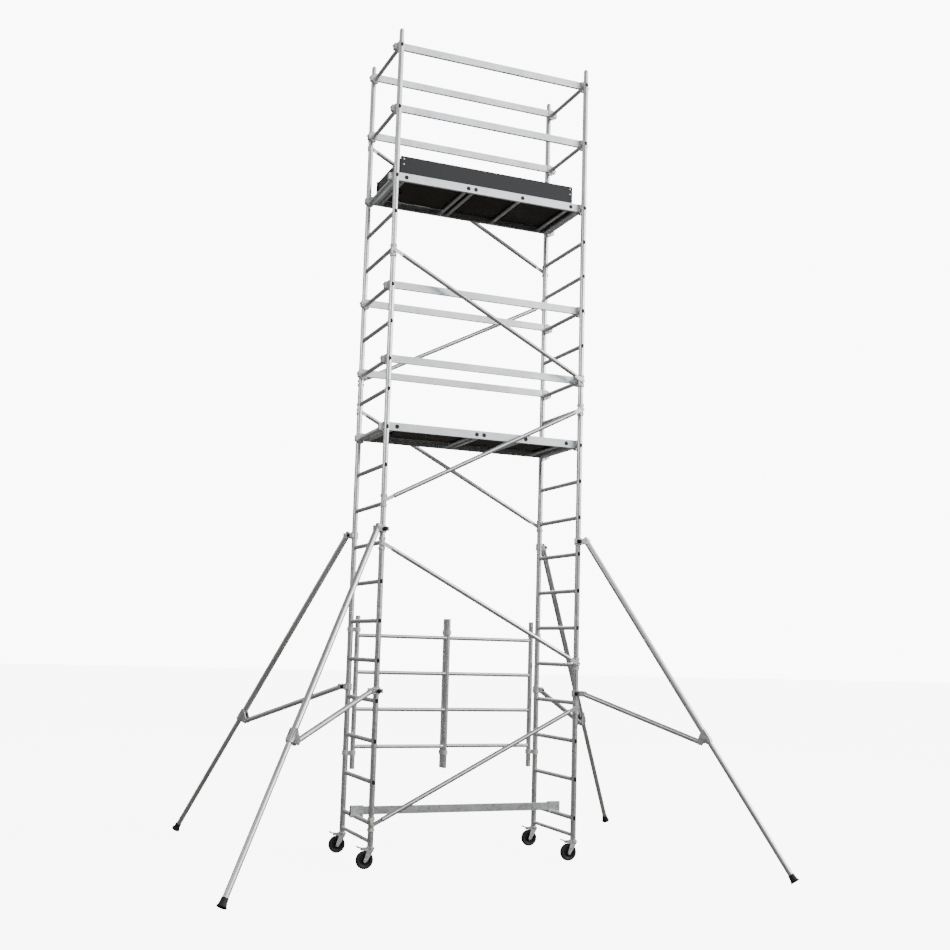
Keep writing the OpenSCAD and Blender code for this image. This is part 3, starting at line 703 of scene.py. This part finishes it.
class TOWER_OT_casters(PieceOperator, bpy.types.Operator):
    """Stems, forks, wheels and brake pedals"""
    bl_idname = "tower.casters"
    bl_label = "Casters"
    # outlines of (radius, place along the axle)
    TYRE = ((0.0402, -0.0150), (0.0480, -0.0178), (0.0560, -0.0172), (0.0602, -0.0138),
            (0.0620, -0.0080), (0.0625, 0.0), (0.0620, 0.0080), (0.0602, 0.0138),
            (0.0560, 0.0172), (0.0480, 0.0178), (0.0402, 0.0150))
    CENTRE = ((0.0041, -0.0202), (0.0145, -0.0202), (0.0160, -0.0150), (0.0200, -0.0078),
              (0.0340, -0.0066), (0.0385, -0.0105), (0.0401, -0.0110), (0.0401, 0.0110),
              (0.0385, 0.0105), (0.0340, 0.0066), (0.0200, 0.0078), (0.0160, 0.0150),
              (0.0145, 0.0202), (0.0041, 0.0202))

    def build(self, finish):
        copied("caster_stems", "swivel_stems", ["zinc"], bevel=0.001)
        for corner in CORNERS:
            copied("fork_" + corner, "caster_fork_" + corner, ["zinc"], bevel=0.0007)
            copied("brake_" + corner, "brake_pedal_" + corner, ["zinc"], bevel=0.0012)
            self.wheel(corner)

    def wheel(self, corner):
        axle = Vector(joint_named("wheel_spin_" + corner)["pos_m"])
        place = Matrix.Translation(axle) @ Matrix.Rotation(math.pi / 2, 4, "X")
        bm = bmesh.new()
        spun(bm, self.TYRE, place, steps=64)
        spun(bm, self.CENTRE, place, steps=48, index=1)
        finish_piece(bm, "tyre_" + corner, "wheel_" + corner, ["tyre", "plastic"],
                     replaced=("wheel_" + corner,))


class TOWER_OT_stabilisers(PieceOperator, bpy.types.Operator):
    """Couplers, legs, struts, feet and their black knobs"""
    bl_idname = "tower.stabilisers"
    bl_label = "Stabilisers"
    # where a knob lies: beyond the upright's side, and between two distances outwards from it
    KNOB_BESIDE = 0.0085
    KNOB_SPAN = (0.0129, 0.0352)
    PLUG_FROM = 0.0271

    def build(self, finish):
        for corner in CORNERS:
            carried("inner_leg_" + corner, "leg_tube")
            carried("strut_" + corner, "leg_tube")
            self.coupler(finish, corner, "top_coupler_")
            self.coupler(finish, corner, "low_clamp_")
            self.leg(corner)
            copied("foot_" + corner, "leg_foot_" + corner, ["rubber"], bevel=0.0012)

    def coupler(self, finish, corner, kind):
        """The knob is the part beyond the ring on the side that the coupler is tightened from."""
        to_own = stabiliser_turn(corner).inverted()

        def pick(point):
            own = to_own @ point
            beside = abs(own.y) > finish.upright_radius + self.KNOB_BESIDE
            return 1 if beside and self.KNOB_SPAN[0] < own.x < self.KNOB_SPAN[1] else 0
        copied(kind + corner, kind + "body_" + corner, ["zinc", "plastic"], pick,
               bevel=0.0014)

    def leg(self, corner):
        """The leg's upper end is closed by a black plug."""
        pivot = Vector(joint_named("leg_fold_" + corner)["pos_m"])
        down = -Vector(joint_named("leg_slide_" + corner)["axis"])

        def pick(point):
            return 1 if (point - pivot).dot(down) < -self.PLUG_FROM else 0
        copied("leg_" + corner, "outer_leg_" + corner, ["leg_tube", "plastic"], pick,
               bevel=0.0009)


class TOWER_OT_stage(bpy.types.Operator):
    """Floor, soft studio light and camera"""
    bl_idname = "tower.stage"
    bl_label = "Stage"
    # where the camera stands, and its turns about the up, right and forward axes
    EYE = (-3.50, -8.746, 1.541)
    HEADING = -0.3865
    RISE = 0.1386
    ROLL = -0.029
    DULL_GROUND = (0.17, 0.16, 0.145, 1)
    # brightness of the room by height, and by how far towards its bright side, each from 0 to 1
    BY_HEIGHT = ((0.0, 0.02), (0.46, 0.05), (0.53, 0.30), (0.70, 0.85), (1.0, 0.35))
    BY_SIDE = ((0.0, 0.34), (0.22, 0.14), (0.52, 0.16), (0.66, 0.42), (0.80, 1.0))
    BRIGHT_SIDE = (0.9, -0.42, 0.05)
    # name, offset from the tower's middle, side of the square, watts
    LAMPS = (("key_light", (9.0, -7.5, 3.5), 4.0, 620),
             ("fill_light", (-9.0, -5.0, 3.0), 4.0, 200),
             ("back_light", (4.0, 9.0, 4.0), 5.0, 260))

    def execute(self, context):
        stage = context.scene.tower_stage
        self.floor(stage)
        self.room(context, stage)
        self.lamps()
        self.camera(context, stage)
        return {"FINISHED"}

    def floor(self, stage):
        bm = bmesh.new()
        bmesh.ops.create_grid(bm, x_segments=2, y_segments=2, size=stage.floor_size / 2)
        mesh = bpy.data.meshes.new("studio_floor")
        bm.to_mesh(mesh)
        bm.free()
        floor = bpy.data.objects.new("studio_floor", mesh)
        bpy.context.scene.collection.objects.link(floor)
        mesh.materials.append(self.floor_material(stage))

    def floor_material(self, stage):
        """Near white to the eye, but dull in reflections, so that metal keeps its dark sides."""
        surface = Finish("pale_floor", specular=0.1)
        patch = surface.noise(0.6, detail=3)
        colour = tuple(stage.floor_colour)
        surface.colour(surface.ramp(patch, [(0.3, shade(colour, 0.985)), (0.7, colour)]))
        surface.roughness(surface.span(patch, 0.75, 0.85))
        nodes, links = surface.nodes, surface.links
        surface.shader.inputs["Emission Color"].default_value = (1, 1, 1, 1)
        surface.shader.inputs["Emission Strength"].default_value = stage.floor_glow
        dull = nodes.new("ShaderNodeBsdfDiffuse")
        dull.inputs["Color"].default_value = self.DULL_GROUND
        seen = nodes.new("ShaderNodeLightPath").outputs["Is Camera Ray"]
        mix = nodes.new("ShaderNodeMixShader")
        links.new(seen, mix.inputs["Fac"])
        links.new(dull.outputs["BSDF"], mix.inputs[1])
        links.new(surface.shader.outputs["BSDF"], mix.inputs[2])
        links.new(mix.outputs["Shader"], nodes["Material Output"].inputs["Surface"])
        return surface.material

    def room(self, context, stage):
        """White behind the tower. Metal reflects a bright right side, a duller top and ground."""
        world = bpy.data.worlds.new("studio_room")
        context.scene.world = world
        world.use_nodes = True
        nodes = world.node_tree.nodes
        links = world.node_tree.links
        direction = nodes.new("ShaderNodeTexCoord").outputs["Generated"]

        def graded(toward, stops):
            """A grey that depends on how far a direction points towards another one."""
            dot = nodes.new("ShaderNodeVectorMath")
            dot.operation = "DOT_PRODUCT"
            dot.inputs[1].default_value = Vector(toward).normalized()
            links.new(direction, dot.inputs[0])
            shift = nodes.new("ShaderNodeMapRange")
            shift.inputs["From Min"].default_value = -1
            links.new(dot.outputs["Value"], shift.inputs["Value"])
            ramp = nodes.new("ShaderNodeValToRGB")
            while len(ramp.color_ramp.elements) < len(stops):
                ramp.color_ramp.elements.new(0.5)
            for element, (place, grey) in zip(ramp.color_ramp.elements, stops):
                element.position = place
                element.color = (grey, grey, grey, 1)
            links.new(shift.outputs["Result"], ramp.inputs["Fac"])
            return ramp.outputs["Color"]

        height = graded((0, 0, 1), self.BY_HEIGHT)
        side = graded(self.BRIGHT_SIDE, self.BY_SIDE)
        both = nodes.new("ShaderNodeMix")
        both.data_type = "RGBA"
        both.blend_type = "MULTIPLY"
        both.inputs[0].default_value = 1
        links.new(height, both.inputs[6])
        links.new(side, both.inputs[7])
        shown = nodes.new("ShaderNodeBackground")
        shown.inputs["Strength"].default_value = stage.backdrop
        lit = nodes["Background"]
        lit.inputs["Strength"].default_value = stage.surround
        links.new(both.outputs[2], lit.inputs["Color"])
        path = nodes.new("ShaderNodeLightPath")
        mix = nodes.new("ShaderNodeMixShader")
        links.new(path.outputs["Is Camera Ray"], mix.inputs["Fac"])
        links.new(lit.outputs["Background"], mix.inputs[1])
        links.new(shown.outputs["Background"], mix.inputs[2])
        links.new(mix.outputs["Shader"], nodes["World Output"].inputs["Surface"])
        shown.inputs["Color"].default_value = (1, 1, 1, 1)

    def lamps(self):
        """A large soft key from the front right, a fill from the left and a light behind."""
        low, high = CAD_BOX
        middle = (low + high) / 2
        for name, offset, side, power in self.LAMPS:
            data = bpy.data.lights.new(name, "AREA")
            data.energy = power
            data.size = side
            lamp = bpy.data.objects.new(name, data)
            bpy.context.scene.collection.objects.link(lamp)
            lamp.location = middle + Vector(offset)
            lamp.rotation_euler = (middle - lamp.location).to_track_quat("-Z", "Y").to_euler()

    def camera(self, context, stage):
        data = bpy.data.cameras.new("tower_camera")
        data.lens = stage.lens
        data.sensor_width = 36
        data.clip_end = 400
        camera = bpy.data.objects.new("tower_camera", data)
        context.scene.collection.objects.link(camera)
        forward = (Matrix.Rotation(self.HEADING, 3, "Z") @ Matrix.Rotation(self.RISE, 3, "X")
                   @ Matrix.Rotation(self.ROLL, 3, "Y"))
        right = forward @ Vector((1, 0, 0))
        ahead = forward @ Vector((0, 1, 0))
        up = forward @ Vector((0, 0, 1))
        turn = Matrix((right, up, -ahead)).transposed()
        camera.matrix_world = Matrix.Translation(self.EYE) @ turn.to_4x4()
        context.scene.camera = camera


class TOWER_PT_panel(bpy.types.Panel):
    """Lists the tower's pieces and their settings"""
    bl_idname = "TOWER_PT_panel"
    bl_label = "Access tower"
    bl_space_type = "VIEW_3D"
    bl_region_type = "UI"
    bl_category = "Tower"

    def draw(self, context):
        for operator in OPERATORS:
            self.layout.operator(operator.bl_idname)
        for settings in (context.scene.tower_finish, context.scene.tower_stage):
            for name in settings.__annotations__:
                self.layout.prop(settings, name)


OPERATORS = (TOWER_OT_frames, TOWER_OT_back_panel, TOWER_OT_braces, TOWER_OT_rails,
             TOWER_OT_base_bar, TOWER_OT_decks, TOWER_OT_toeboards, TOWER_OT_casters,
             TOWER_OT_stabilisers, TOWER_OT_stage)
CLASSES = (TowerFinish, TowerStage) + OPERATORS + (TOWER_PT_panel,)


def register():
    for cls in CLASSES:
        bpy.utils.register_class(cls)
    bpy.types.Scene.tower_finish = bpy.props.PointerProperty(type=TowerFinish)
    bpy.types.Scene.tower_stage = bpy.props.PointerProperty(type=TowerStage)


def unregister():
    del bpy.types.Scene.tower_stage
    del bpy.types.Scene.tower_finish
    for cls in reversed(CLASSES):
        bpy.utils.unregister_class(cls)


def main():
    """Builds every piece."""
    register()
    for operator in OPERATORS:
        group, name = operator.bl_idname.split(".")
        getattr(getattr(bpy.ops, group), name)()


if __name__ == "__main__":
    main()
